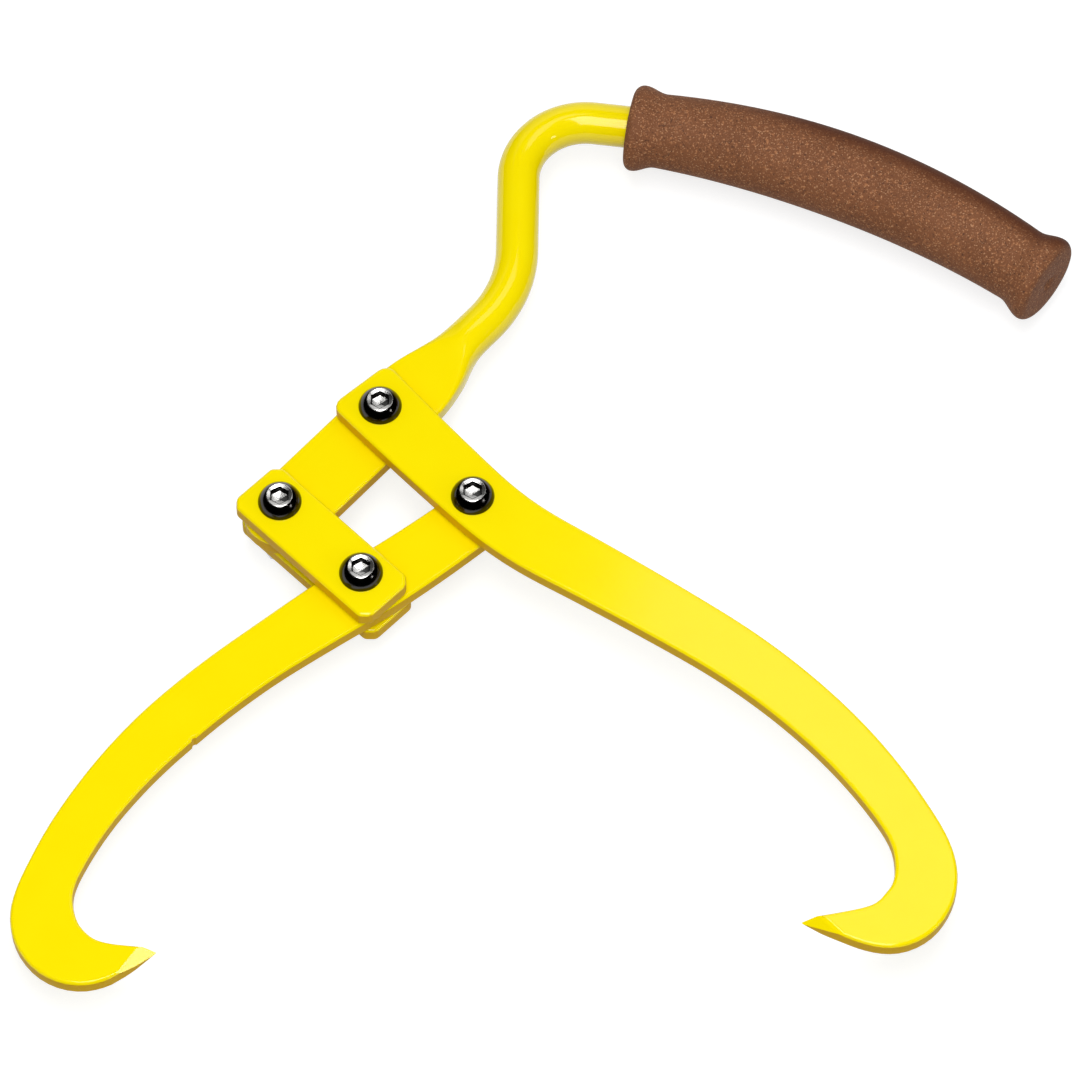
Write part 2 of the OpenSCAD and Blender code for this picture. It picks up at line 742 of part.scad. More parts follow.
module toe_pivot_shims() {
    shim_pair(toe_pivot);
}

module toe_pivot_washer() {
    flat_washer(toe_pivot, three_plates_z);
}

module toe_pivot_nut() {
    lock_nut(toe_pivot, three_plates_z);
}

module toe_pivot_insert() {
    nylon_ring(toe_pivot, three_plates_z);
}

handle_bar();
grip();
arm_pivot_screw();
arm_pivot_shim();
arm_pivot_washer();
arm_pivot_nut();
arm_pivot_insert();
right_arm();
jaw_pivot_screw();
jaw_pivot_shim();
jaw_pivot_washer();
jaw_pivot_nut();
jaw_pivot_insert();
left_arm();
upper_link();
lower_link();
heel_pivot_screw();
heel_pivot_shims();
heel_pivot_washer();
heel_pivot_nut();
heel_pivot_insert();
toe_pivot_screw();
toe_pivot_shims();
toe_pivot_washer();
toe_pivot_nut();
toe_pivot_insert();
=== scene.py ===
# %% [markdown]
# Log tongs, dressed for a studio picture. The solids of the tongs come in as a fixed frame: their places,
# sizes and joints are settled, and this lesson gives them rounded edges, paint, plating and light.
# Everything is in metres, with the tongs lying on z = 0 and the hooks towards -Y.

# %% Load the frame
import json
import math

import bmesh
import bpy
from mathutils import Matrix, Vector


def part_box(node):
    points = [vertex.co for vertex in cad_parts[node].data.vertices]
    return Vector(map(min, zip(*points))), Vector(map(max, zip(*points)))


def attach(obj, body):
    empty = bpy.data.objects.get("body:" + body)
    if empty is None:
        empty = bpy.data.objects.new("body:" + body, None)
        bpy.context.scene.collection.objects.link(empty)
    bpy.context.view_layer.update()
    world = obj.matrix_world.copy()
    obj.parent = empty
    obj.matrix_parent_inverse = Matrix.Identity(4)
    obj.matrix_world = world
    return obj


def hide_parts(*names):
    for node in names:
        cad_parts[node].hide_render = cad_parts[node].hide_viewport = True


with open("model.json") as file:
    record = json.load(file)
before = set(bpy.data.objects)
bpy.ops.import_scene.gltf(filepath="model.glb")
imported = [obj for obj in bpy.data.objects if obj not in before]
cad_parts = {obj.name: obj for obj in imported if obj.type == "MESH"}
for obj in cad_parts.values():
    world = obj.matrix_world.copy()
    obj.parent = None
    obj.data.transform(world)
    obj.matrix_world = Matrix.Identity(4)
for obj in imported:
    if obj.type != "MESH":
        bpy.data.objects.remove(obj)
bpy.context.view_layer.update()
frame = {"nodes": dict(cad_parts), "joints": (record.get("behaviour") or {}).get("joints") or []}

# %% [markdown]
# The pivots are read from the joints, so that what is modelled here sits where the solids sit. The toe pivot
# has no joint of its own, because the linkage is opened there, and is read from its screw.

# %% Pivots and directions
MM = 0.001
UP = Vector((0, 0, 1))
joint_place = {joint["name"]: Vector(joint["pos_m"]) for joint in frame["joints"]}
arm_pivot = joint_place["arm_pivot_turn"]
heel_pivot = joint_place["heel_pivot_turn"]
jaw_pivot = joint_place["jaw_pivot_turn"]
toe_low, toe_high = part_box("toe_pivot_screw")
toe_pivot = (toe_low + toe_high) / 2
toe_pivot.z = arm_pivot.z
along = (arm_pivot - heel_pivot).normalized()
across = UP.cross(along)
print("handle leans", round(math.degrees(math.atan2(along.y, along.x)), 2), "degrees")

# %% [markdown]
# Colours are picked as sRGB hex values, the way a paint chart gives them, and turned to the linear values
# that a shader works with. One helper adds a node with its settings, its links and, for a colour ramp, its
# two stops, so a material reads as a list. A Mix node has a pair of sockets for each kind of data, and those
# for colours are reached by number, because all the pairs share their names.

# %% Colour and node helpers
BLACK, WHITE = (0, 0, 0, 1), (1, 1, 1, 1)
COLOUR_A, COLOUR_B, MIXED_COLOUR = 6, 7, 2


def linear(hex_colour):
    def channel(text):
        value = int(text, 16) / 255
        return value / 12.92 if value <= 0.04045 else ((value + 0.055) / 1.055) ** 2.4
    return (channel(hex_colour[1:3]), channel(hex_colour[3:5]), channel(hex_colour[5:7]), 1.0)


def add_node(tree, kind, inputs=None, stops=(), **settings):
    node = tree.nodes.new("ShaderNode" + kind)
    for name, value in settings.items():
        setattr(node, name, value)
    for name, value in (inputs or {}).items():
        if isinstance(value, bpy.types.NodeSocket):
            tree.links.new(value, node.inputs[name])
        else:
            node.inputs[name].default_value = value
    for index, (position, colour) in enumerate(stops):
        node.color_ramp.elements[index].position = position
        node.color_ramp.elements[index].color = colour
    return node


def new_material(name, **sockets):
    material = bpy.data.materials.new(name)
    material.use_nodes = True
    tree = material.node_tree
    shader = tree.nodes["Principled BSDF"]
    for socket, value in sockets.items():
        shader.inputs[socket.replace("_", " ")].default_value = value
    return material, tree, shader


def per_metre(size_mm):
    """Scale of a pattern whose cells are this many millimetres wide."""
    return 1 / (size_mm * MM)


# %% [markdown]
# The jaws, links and handle are steel with a yellow powder coat. The powder melts to a thick glossy skin
# that levels out less than wet paint does, so the gloss is a little wavy. Where a plate was cut out, the
# flame leaves fine upright ridges on its edge, which the coat doesn't quite fill, and the coat there is less
# glossy. The upright walls are also painted a deeper yellow than the tops: this is painted shade, for walls
# that face away from the light above.

# %% Powder coat
PEEL_MM, PEEL_DEPTH_MM, PEEL_STRENGTH = 1.6, 0.1, 0.06
PATCH_MM = 14.0
RIDGE_MM, RIDGE_DEPTH_MM = 0.9, 0.25
RIDGE_SQUEEZE = 0.06


def coated(name, thin, thick, roughness, gloss, ridge_strength):
    """Powder coat that runs from its thin colour to its thick one, over ridges of the given strength."""
    material, tree, shader = new_material(name, Roughness=roughness, IOR=1.5, Specular_IOR_Level=gloss)
    place = add_node(tree, "TexCoord").outputs["Object"]
    patches = add_node(tree, "TexNoise", {"Vector": place, "Scale": per_metre(PATCH_MM), "Detail": 2.0})
    colour = add_node(
        tree, "ValToRGB", {"Fac": patches.outputs["Fac"]},
        stops=[(0.3, linear(thin)), (0.7, linear(thick))],
    ).outputs["Color"]
    peel = add_node(tree, "TexNoise", {"Vector": place, "Scale": per_metre(PEEL_MM), "Detail": 1.0})
    bump = add_node(
        tree, "Bump",
        {"Height": peel.outputs["Fac"], "Strength": PEEL_STRENGTH, "Distance": PEEL_DEPTH_MM * MM},
    )
    if ridge_strength:
        squeezed = add_node(tree, "Mapping", {"Vector": place, "Scale": (1.0, 1.0, RIDGE_SQUEEZE)})
        ridges = add_node(
            tree, "TexNoise",
            {"Vector": squeezed.outputs["Vector"], "Scale": per_metre(RIDGE_MM), "Detail": 3.0},
        )
        bump = add_node(
            tree, "Bump",
            {"Height": ridges.outputs["Fac"], "Strength": ridge_strength, "Distance": RIDGE_DEPTH_MM * MM,
             "Normal": bump.outputs["Normal"]},
        )
    tree.links.new(colour, shader.inputs["Base Color"])
    tree.links.new(bump.outputs["Normal"], shader.inputs["Normal"])
    return material


powder_coat = coated(
    "yellow powder coat", thin="#FFE700", thick="#FFE902", roughness=0.1, gloss=0.36, ridge_strength=0
)
# The cut edges' deeper yellow is painted shade: the upright walls are coloured darker than the tops.
shaded_cut_edge_coat = coated(
    "yellow powder coat on a cut edge, painted darker as shade", thin="#E4B400", thick="#E8BA00", roughness=0.45, gloss=0.08,
    ridge_strength=0.5,
)
print("coats:", powder_coat.name, "and", shaded_cut_edge_coat.name)

# %% [markdown]
# The grip is moulded from a brown plastic that is filled with ground fibre. The fibre shows as dark flecks,
# light orange specks and paler dust in the skin, and the mould leaves the skin satin and faintly grainy.
# Each layer is a noise whose middle values are pushed apart to a mask, laid over the layers below it.

# %% Speckled plastic
CLOUD_MM = 16.0
FLECK_MM = 0.8
SPECK_MM = 1.0
DUST_MM = 0.5

grip_plastic, tree, shader = new_material(
    "speckled moulded plastic", Roughness=0.7, IOR=1.5, Specular_IOR_Level=0.2
)
place = add_node(tree, "TexCoord").outputs["Object"]
clouds = add_node(tree, "TexNoise", {"Vector": place, "Scale": per_metre(CLOUD_MM), "Detail": 3.0})
skin = add_node(
    tree, "ValToRGB", {"Fac": clouds.outputs["Fac"]},
    stops=[(0.35, linear("#7B4D31")), (0.65, linear("#835336"))],
).outputs["Color"]
spot_layers = [
    (FLECK_MM, {"Detail": 2.0, "Distortion": 0.5}, [(0.30, WHITE), (0.42, BLACK)], "#5A3A29"),
    (SPECK_MM, {"Detail": 2.0}, [(0.56, BLACK), (0.70, WHITE)], "#A97049"),
    (DUST_MM, {"Detail": 1.0}, [(0.60, BLACK), (0.74, WHITE)], "#C4936C"),
]
for size_mm, noise_inputs, stops, colour in spot_layers:
    spots = add_node(tree, "TexNoise", {"Vector": place, "Scale": per_metre(size_mm), **noise_inputs})
    mask = add_node(tree, "ValToRGB", {"Fac": spots.outputs["Fac"]}, stops=stops).outputs["Color"]
    skin = add_node(
        tree, "Mix", {"Factor": mask, COLOUR_A: skin, COLOUR_B: linear(colour)}, data_type="RGBA"
    ).outputs[MIXED_COLOUR]
print("grip plastic:", len(spot_layers), "layers of spots")

# %% [markdown]
# The outer side of the grip's bow is painted darker towards the closed end: this is painted shade, where
# that side faces away from the light above. The outer side is found by how far the surface faces away from
# the palm, the end by its place along X.

# %% Painted shade on the outer side, and the grain
OUTER_SIDE = (0.45, 0.89, 0.0)
OUTER_FROM, OUTER_TO = 0.1, 0.55
SHADE_FROM_MM, SHADE_TO_MM, SHADE_MOST = 50, 85, 0.85
GRAIN_MM, GRAIN_DEPTH_MM, GRAIN_STRENGTH = 0.7, 0.12, 0.5

surface = add_node(tree, "TexCoord").outputs["Normal"]
outward = add_node(tree, "VectorMath", {0: surface, 1: OUTER_SIDE}, operation="DOT_PRODUCT")
shaded_side_mask = add_node(
    tree, "MapRange",
    {"Value": outward.outputs["Value"], "From Min": OUTER_FROM, "From Max": OUTER_TO},
)
shaded_end_mask = add_node(
    tree, "MapRange",
    {"Value": add_node(tree, "SeparateXYZ", {"Vector": place}).outputs["X"],
     "From Min": SHADE_FROM_MM * MM, "From Max": SHADE_TO_MM * MM, "To Max": SHADE_MOST},
)
painted_shade_mask = add_node(tree, "Math", {0: shaded_side_mask.outputs[0], 1: shaded_end_mask.outputs[0]}, operation="MULTIPLY")
# The dark red-brown mixed in here is painted shade on the side away from the light.
skin = add_node(
    tree, "Mix", {"Factor": painted_shade_mask.outputs[0], COLOUR_A: skin, COLOUR_B: linear("#562402")},
    data_type="RGBA",
).outputs[MIXED_COLOUR]
grain = add_node(tree, "TexNoise", {"Vector": place, "Scale": per_metre(GRAIN_MM), "Detail": 2.0})
bump = add_node(
    tree, "Bump",
    {"Height": grain.outputs["Fac"], "Strength": GRAIN_STRENGTH, "Distance": GRAIN_DEPTH_MM * MM},
)
tree.links.new(skin, shader.inputs["Base Color"])
tree.links.new(bump.outputs["Normal"], shader.inputs["Normal"])
print("grip plastic:", len(tree.nodes), "nodes")

# %% [markdown]
# The screws are hardened steel with a black nickel plate, which shows its surroundings like a dark mirror.
# Where it is worn off, bare steel shines through. Washers and nuts are zinc plated, the ring in each nut is
# nylon. Tool marks and handling make the gloss of plated steel uneven.

# %% Plated steel and nylon
WEAR_MM = 2.5
MARK_MM, MARK_DEPTH_MM, MARK_STRENGTH = 0.25, 0.05, 0.08


def plated(name, colour, rough, rough_spread):
    material, tree, shader = new_material(name, Base_Color=linear(colour), Metallic=1.0)
    place = add_node(tree, "TexCoord").outputs["Object"]
    wear = add_node(tree, "TexNoise", {"Vector": place, "Scale": per_metre(WEAR_MM), "Detail": 4.0})
    spread = add_node(
        tree, "MapRange",
        {"Value": wear.outputs["Fac"], "To Min": rough - rough_spread, "To Max": rough + rough_spread},
    )
    marks = add_node(tree, "TexNoise", {"Vector": place, "Scale": per_metre(MARK_MM), "Detail": 2.0})
    bump = add_node(
        tree, "Bump",
        {"Height": marks.outputs["Fac"], "Strength": MARK_STRENGTH, "Distance": MARK_DEPTH_MM * MM},
    )
    tree.links.new(spread.outputs[0], shader.inputs["Roughness"])
    tree.links.new(bump.outputs["Normal"], shader.inputs["Normal"])
    return material


black_nickel = plated("black nickel plate", "#434140", rough=0.13, rough_spread=0.05)
bright_steel = plated("bright worn steel", "#E2E1DE", rough=0.24, rough_spread=0.03)
zinc_plate = plated("zinc plate", "#C3C6C9", rough=0.34, rough_spread=0.1)
nylon, tree, shader = new_material(
    "nylon", Base_Color=linear("#E9E7DC"), Roughness=0.5, IOR=1.53, Subsurface_Weight=0.1
)
shader.inputs["Subsurface Radius"].default_value = (MM, MM, MM)
print("metals:", black_nickel.name, bright_steel.name, zinc_plate.name, "and", nylon.name)

# %% [markdown]
# A solid from the frame is a loose bag of triangles. To round its edges, a copy is merged and its flat faces
# are made whole again. The frame's own mesh is left as it is, and the copy stands for it.

# %% Merged copies
MERGE = 0.002 * MM
SAME_PLANE = math.radians(0.05)


def merged_copy(node):
    bm = bmesh.new()
    bm.from_mesh(frame["nodes"][node].data)
    bmesh.ops.remove_doubles(bm, verts=bm.verts[:], dist=MERGE)
    bmesh.ops.dissolve_limit(
        bm, angle_limit=SAME_PLANE, verts=bm.verts[:], edges=bm.edges[:], use_dissolve_boundaries=False
    )
    return bm


def fold(edge):
    """Angle between an edge's two faces, in degrees, or 0 at the rim of an open shell."""
    return math.degrees(edge.calc_face_angle(0)) if len(edge.link_faces) == 2 else 0


def piece(name, bm, body, nodes, materials, sharp_from=180):
    """Makes the finished mesh a piece of the scene: smooth, riding its body, standing for its nodes."""
    bmesh.ops.recalc_face_normals(bm, faces=bm.faces[:])
    for face in bm.faces:
        face.smooth = True
    for edge in bm.edges:
        if fold(edge) > sharp_from:
            edge.smooth = False
    mesh = bpy.data.meshes.new(name)
    bm.to_mesh(mesh)
    bm.free()
    for material in materials:
        mesh.materials.append(material)
    made = bpy.data.objects.new(name, mesh)
    bpy.context.scene.collection.objects.link(made)
    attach(made, body)
    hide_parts(*nodes)
    return made


def keep_faces_flat(made):
    """Weights the normals by face area, so that a big flat face stays flat beside its rounded edge."""
    flatten = made.modifiers.new("flat faces", "WEIGHTED_NORMAL")
    flatten.mode = "FACE_AREA"
    flatten.weight = 60
    flatten.keep_sharp = True
    return made


# %% [markdown]
# The plates are cut from sheet and tumbled, so their edges are rounded, and the coat rounds them further.
# The points of the hooks are ground afterwards, so the edges that run down their facets stay sharp. Across
# the top, the right hook's facet ends in a soft crease and the left hook's in a crisp one.

# %% Which faces are which
COATS = [powder_coat, shaded_cut_edge_coat]
LEVEL, LEANING, UPRIGHT = 0.98, 0.3, 0.35


def is_level(face):
    return abs(face.normal.z) > LEVEL


def is_ground(face):
    """The facets of a hook's point are the only faces of a plate that are neither level nor upright."""
    return abs(face.normal.z) > LEANING and not is_level(face)


def mark_cut_edges_with_painted_shade(faces):
    """Gives the upright walls that the cutting flame left the coat of a cut edge, whose deeper yellow is
    painted shade.
    """
    for face in faces:
        face.material_index = COATS.index(shaded_cut_edge_coat) if abs(face.normal.z) < UPRIGHT else 0


# %% Which edges are rounded
EDGE_ROUND = 1.2 * MM
SHARP_FOLD = 20
CREASE_ROOM = 6.5 * MM


def has_room(edge):
    """True where both walls beside an upright edge are wide enough to give up a rounding."""
    return min(face.calc_area() for face in edge.link_faces) > 2 * EDGE_ROUND * edge.calc_length()


def is_rounded(edge, soft_crease):
    if fold(edge) < SHARP_FOLD:
        return False
    on_top = any(is_level(face) and face.normal.z > 0 for face in edge.link_faces)
    if any(is_ground(face) for face in edge.link_faces):
        return on_top and soft_crease
    return any(is_level(face) for face in edge.link_faces) or has_room(edge)


def clear_beside_crease(bm):
    """Joins the narrow walls beside the ends of the top crease, so that a rounding has room to run out."""
    ends = [
        vert for edge in bm.edges for vert in edge.verts
        if any(is_ground(face) for face in edge.link_faces)
        and any(is_level(face) and face.normal.z > 0 for face in edge.link_faces)
    ]
    narrow = [
        edge for edge in bm.edges
        if not any(is_ground(face) or is_level(face) for face in edge.link_faces)
        and any(is_ground(face) for vert in edge.verts for face in vert.link_faces)
        and any((vert.co - end.co).length < CREASE_ROOM for vert in edge.verts for end in ends)
    ]
    bmesh.ops.dissolve_edges(bm, edges=narrow, use_verts=True)


# %% Plates
STAYS_SHARP = 35


def round_plate(name, node, body, soft_crease=True):
    bm = merged_copy(node)
    clear_beside_crease(bm)
    bmesh.ops.bevel(
        bm, geom=[edge for edge in bm.edges if is_rounded(edge, soft_crease)], offset=EDGE_ROUND,
        offset_type="OFFSET", segments=4, profile=0.5, affect="EDGES", material=-1, clamp_overlap=False,
        miter_outer="ARC",
    )
    # Upright walls get the coat that is painted darker as shade.
    mark_cut_edges_with_painted_shade(bm.faces)
    sharp_from = STAYS_SHARP if soft_crease else SHARP_FOLD
    return keep_faces_flat(piece(name, bm, body, [node], COATS, sharp_from))


plates = [
    round_plate("Right_Arm", "right_arm", "right_arm"),
    round_plate("Left_Arm", "left_arm", "left_arm", soft_crease=False),
    round_plate("Upper_Link", "upper_link", "links"),
    round_plate("Lower_Link", "lower_link", "links"),
]
print("plates:", [plate.name for plate in plates])

# %% [markdown]
# The handle is one forging: a flat plate with two holes that grows out of a round bar. The flat is the copy
# of the solid, cut off before the neck, with its edges rounded. From the cut, the rim is pulled out ring by
# ring: each ring is the same rounded oblong, with corners that grow until it is the bar's circle. The bar is
# then turned round its bends with spins, which is just what a bending machine does.

# %% Handle sizes, in millimetres
CUT_L = 9.5
NECK_START_L = 12.0
NECK_FAR_L = 24.0
NECK_NEAR_L = 36.0
FLAT_FAR_W = 11.3
FLAT_NEAR_W = 13.3
FLAT_T = 6.0
FLAT_ROUND = 1.0
BAR_R = 7.0
BAR_SHIFT = -0.2
STEM_L = 1.3
KNEE_R, KNEE_TURN = 43.5, 40.8
RISE_L = 28.3
CROOK_R, CROOK_TURN = 22.3, -96.5
LEAD_L = 11.8
BOW_R = 260.0
GRIP_L = 152.0
GRIP_END_WALL = 7.5
BAR_END_GAP = 1.0


def turned(direction, degrees):
    return Matrix.Rotation(math.radians(degrees), 3, "Z") @ direction


def mix(a, b, t):
    return a + (b - a) * t


def ease(t):
    return (1 - math.cos(math.pi * min(1, max(0, t)))) / 2


# %% Rings that are pulled out one after the other
def pull_ring(bm, ring):
    """Extrudes an ordered ring of vertices and returns the new ring in the same order."""
    members = set(ring)
    rim = [e for e in bm.edges if len(e.link_faces) <= 1 and e.verts[0] in members and e.verts[1] in members]
    out = bmesh.ops.extrude_edge_only(bm, edges=rim)
    fresh = {v for v in out["geom"] if isinstance(v, bmesh.types.BMVert)}
    return [next(e.other_vert(v) for e in v.link_edges if e.other_vert(v) in fresh) for v in ring]


def pull_straight(bm, ring, step):
    ring = pull_ring(bm, ring)
    bmesh.ops.translate(bm, verts=ring, vec=step)
    return ring


def pull_bend(bm, ring, centre, degrees, steps):
    """Turns the ring about an upright axis through the bend's centre, leaving the bent bar behind it."""
    for _ in range(steps):
        ring = pull_ring(bm, ring)
        turn = Matrix.Rotation(math.radians(degrees / steps), 3, "Z")
        bmesh.ops.rotate(bm, verts=ring, cent=centre, matrix=turn)
    return ring


# %% The flat end with its rounded edges
HOLE_CLEAR = 6 * MM
RIM_FOLD = 60
cut_centre = arm_pivot + CUT_L * MM * along
bm = merged_copy("handle_bar")
bmesh.ops.bisect_plane(
    bm, geom=bm.verts[:] + bm.edges[:] + bm.faces[:], dist=MERGE, plane_co=cut_centre, plane_no=along,
    clear_outer=True,
)
bmesh.ops.dissolve_limit(
    bm, angle_limit=SAME_PLANE, verts=bm.verts[:], edges=bm.edges[:], use_dissolve_boundaries=True
)
rim_edges = [
    e for e in bm.edges
    if fold(e) > RIM_FOLD
    and all((e.verts[0].co - pivot).xy.length > HOLE_CLEAR for pivot in (arm_pivot, heel_pivot))
]
bmesh.ops.bevel(
    bm, geom=rim_edges, offset=FLAT_ROUND * MM, offset_type="OFFSET", segments=6, profile=0.5,
    affect="EDGES", material=-1, clamp_overlap=False,
)
bm.normal_update()
# The flat's upright walls get the coat that is painted darker as shade.
mark_cut_edges_with_painted_shade(bm.faces)
print("flat:", len(bm.verts), "vertices,", len(rim_edges), "rim edges")

# %% The ring round the cut
LONG_EDGE, WALL_EDGE = 8 * MM, 3 * MM
MIDDLE_W = (FLAT_FAR_W - FLAT_NEAR_W) / 2
SECTION_STRETCH = 4


def open_edges(low, high):
    return [e for e in bm.edges if len(e.link_faces) == 1 and low < e.calc_length() < high]


def in_section(co):
    """Place across and above the handle's middle line, in millimetres."""
    return (co - cut_centre).dot(across) / MM, (co.z - arm_pivot.z) / MM


def ring_order(vert):
    """Angle round the middle of the section, which is stretched upwards because it is wide and flat."""
    v, z = in_section(vert.co)
    return math.atan2(z * SECTION_STRETCH, v - MIDDLE_W)


bmesh.ops.subdivide_edges(bm, edges=open_edges(LONG_EDGE, math.inf), cuts=9)
bmesh.ops.subdivide_edges(bm, edges=open_edges(WALL_EDGE, LONG_EDGE), cuts=1)
ring = sorted({v for e in open_edges(0, math.inf) for v in e.verts}, key=ring_order)
section = [in_section(v.co) for v in ring]
print("cut ring:", len(ring), "vertices")

# %% The neck
NECK_STEPS = 30
FAR_SWELL_FROM = 6.0
EVEN_FROM = 0.45


def neck_point(v, z, u, circle_angle):
    """Where a point of the flat's section goes at distance u along the neck."""
    top = FLAT_T / 2
    far = mix(FLAT_FAR_W, BAR_SHIFT + BAR_R, ease(u / NECK_FAR_L))
    near = mix(-FLAT_NEAR_W, BAR_SHIFT - BAR_R, ease(u / NECK_NEAR_L))
    half_h = mix(top, BAR_R, ease(u / NECK_NEAR_L))
    near_r = mix(FLAT_ROUND, half_h, ease(u / NECK_NEAR_L))
    far_r = mix(FLAT_ROUND, half_h, ease((u - FAR_SWELL_FROM) / (NECK_NEAR_L - FAR_SWELL_FROM)))
    left_edge, right_edge = FLAT_FAR_W - FLAT_ROUND, -FLAT_NEAR_W + FLAT_ROUND
    if v >= left_edge:
        corner, new_v = far_r, far - far_r + (v - left_edge) / FLAT_ROUND * far_r
    elif v <= right_edge:
        corner, new_v = near_r, near + near_r + (v - right_edge) / FLAT_ROUND * near_r
    else:
        share = (v - right_edge) / (left_edge - right_edge)
        corner, new_v = mix(near_r, far_r, share), mix(near + near_r, far - far_r, share)
    shoulder = top - FLAT_ROUND
    if abs(z) >= shoulder:
        new_z = half_h - corner + (abs(z) - shoulder) / FLAT_ROUND * corner
    else:
        new_z = abs(z) / shoulder * (half_h - corner)
    even = ease((u / NECK_NEAR_L - EVEN_FROM) / (1 - EVEN_FROM))
    round_v = BAR_SHIFT + BAR_R * math.cos(circle_angle)
    round_z = BAR_R * math.sin(circle_angle)
    return mix(new_v, round_v, even), mix(math.copysign(new_z, z), round_z, even)


straight_l = NECK_START_L - CUT_L
neck_l = straight_l + NECK_NEAR_L
for step in range(1, NECK_STEPS + 1):
    ring = pull_ring(bm, ring)
    s = neck_l * step / NECK_STEPS
    for k, vert in enumerate(ring):
        angle = math.radians(-180 + 360 * (k + 0.5) / len(ring))
        v, z = neck_point(*section[k], max(0.0, s - straight_l), angle)
        vert.co = cut_centre + MM * (s * along + v * across + z * UP)
bar_start = cut_centre + MM * (neck_l * along + BAR_SHIFT * across)
print("neck ends at", bar_start)

# %% The bar's bends
KNEE_STEPS, CROOK_STEPS, BOW_STEPS = 24, 36, 12
SMOOTH_TO = 60
hole_l = GRIP_L - GRIP_END_WALL
bow_turn = -math.degrees((hole_l - BAR_END_GAP) / BOW_R)


def straight_leg(ring, place, heading, length):
    step = length * MM * heading
    return pull_straight(bm, ring, step), place + step, heading


def bent_leg(ring, place, heading, radius, turn, steps):
    centre = place + math.copysign(radius, turn) * MM * UP.cross(heading)
    ring = pull_bend(bm, ring, centre, turn, steps)
    return ring, centre + turned(place - centre, turn), turned(heading, turn)


leg = straight_leg(ring, bar_start, along, STEM_L)
leg = bent_leg(*leg, KNEE_R, KNEE_TURN, KNEE_STEPS)
leg = straight_leg(*leg, RISE_L)
leg = bent_leg(*leg, CROOK_R, CROOK_TURN, CROOK_STEPS)
leg = straight_leg(*leg, LEAD_L)
grip_start, grip_heading = leg[1:]
leg = bent_leg(*leg, BOW_R, bow_turn, BOW_STEPS)
bmesh.ops.contextual_create(bm, geom=leg[0])
for face in bm.faces:
    if (face.calc_center_median() - cut_centre).dot(along) > 0:
        face.material_index = COATS.index(powder_coat)
handle = keep_faces_flat(piece("Handle_Bar", bm, "handle", ["handle_bar"], COATS, SMOOTH_TO))
flat_part = handle.vertex_groups.new(name="flat")
flat_part.add([v.index for v in handle.data.vertices if (v.co - cut_centre).dot(along) < MM], 1.0, "REPLACE")
handle.modifiers["flat faces"].vertex_group = "flat"
print("grip starts at", grip_start, "heading", grip_heading)

# %% [markdown]
# The grip is moulded round the bar, and follows its bow. It is a row of rings again: out of the hole, round
# the mouth's lip, down into the waist, up to the palm swell, down before the flange and round to the closed
# end with its dimple. The mouth and the end are cut a few degrees out of square.

# %% Grip sizes, in millimetres
MOUTH_SKEW, END_SKEW = 4.0, -3.0
COLLAR_D, WAIST_D, PALM_D, HEEL_D, FLANGE_D = 28.8, 24.8, 28.6, 25.4, 30.0
WAIST_AT, PALM_AT, HEEL_FROM_END = 10.5, 75.0, 11.5
RIM_R = 3.0
DIMPLE_R, DIMPLE_DEPTH, DIMPLE_TIP_R = 4.0, 1.0, 0.05
HOLE_R = BAR_R + 0.15
HOLE_BOTTOM_R, HOLE_LIP = 0.6, 0.4
GRIP_SIDES = 72


def on_bow(s):
    """Place and heading at a distance along the grip, in metres and as a direction."""
    turn = -math.degrees(s / BOW_R)
    centre = grip_start - BOW_R * MM * UP.cross(grip_heading)
    return centre + turned(grip_start - centre, turn), turned(grip_heading, turn)


def grip_ring_point(s, r, angle):
    at, direction = on_bow(s)
    skewed = turned(direction, -mix(MOUTH_SKEW, END_SKEW, s / GRIP_L))
    sideways = UP.cross(skewed)
    return at + MM * (r * math.cos(angle) * sideways + r * math.sin(angle) * UP)


# %% The grip's profile
def quick_start(t):
    return math.sin(math.pi / 2 * t)


def slow_start(t):
    return 1 - math.cos(math.pi / 2 * t)


def swell(start, end, start_d, end_d, steps, curve):
    """Rows that lead from one thickness to the next, the start itself left out."""
    shares = [k / steps for k in range(1, steps + 1)]
    return [(mix(start, end, t), mix(start_d, end_d, curve(t)) / 2) for t in shares]


heel_at = GRIP_L - HEEL_FROM_END
flange_at = GRIP_L - RIM_R
quarter_turn = [math.radians(15 * k) for k in range(7)]
grip_rows = [(hole_l, HOLE_BOTTOM_R)]
grip_rows += [(mix(hole_l, HOLE_LIP, k / 16), HOLE_R) for k in range(17)]
grip_rows += [(0.0, HOLE_R + 0.5)]
grip_rows += [
    (RIM_R * (1 - math.cos(a)), COLLAR_D / 2 - RIM_R * (1 - math.sin(a))) for a in quarter_turn
]
grip_rows += swell(RIM_R, WAIST_AT, COLLAR_D, WAIST_D, 8, ease)
grip_rows += swell(WAIST_AT, PALM_AT, WAIST_D, PALM_D, 16, quick_start)
grip_rows += swell(PALM_AT, heel_at, PALM_D, HEEL_D, 16, slow_start)
grip_rows += swell(heel_at, flange_at, HEEL_D, FLANGE_D, 8, ease)
grip_rows += [
    (flange_at + RIM_R * math.sin(a), FLANGE_D / 2 - RIM_R * (1 - math.cos(a))) for a in quarter_turn[1:]
]
grip_rows += [
    (GRIP_L - DIMPLE_DEPTH * (1 + math.cos(math.pi * k / 6)) / 2, DIMPLE_R * k / 6 + DIMPLE_TIP_R)
    for k in range(6, -1, -1)
]
print("grip:", len(grip_rows), "rings")

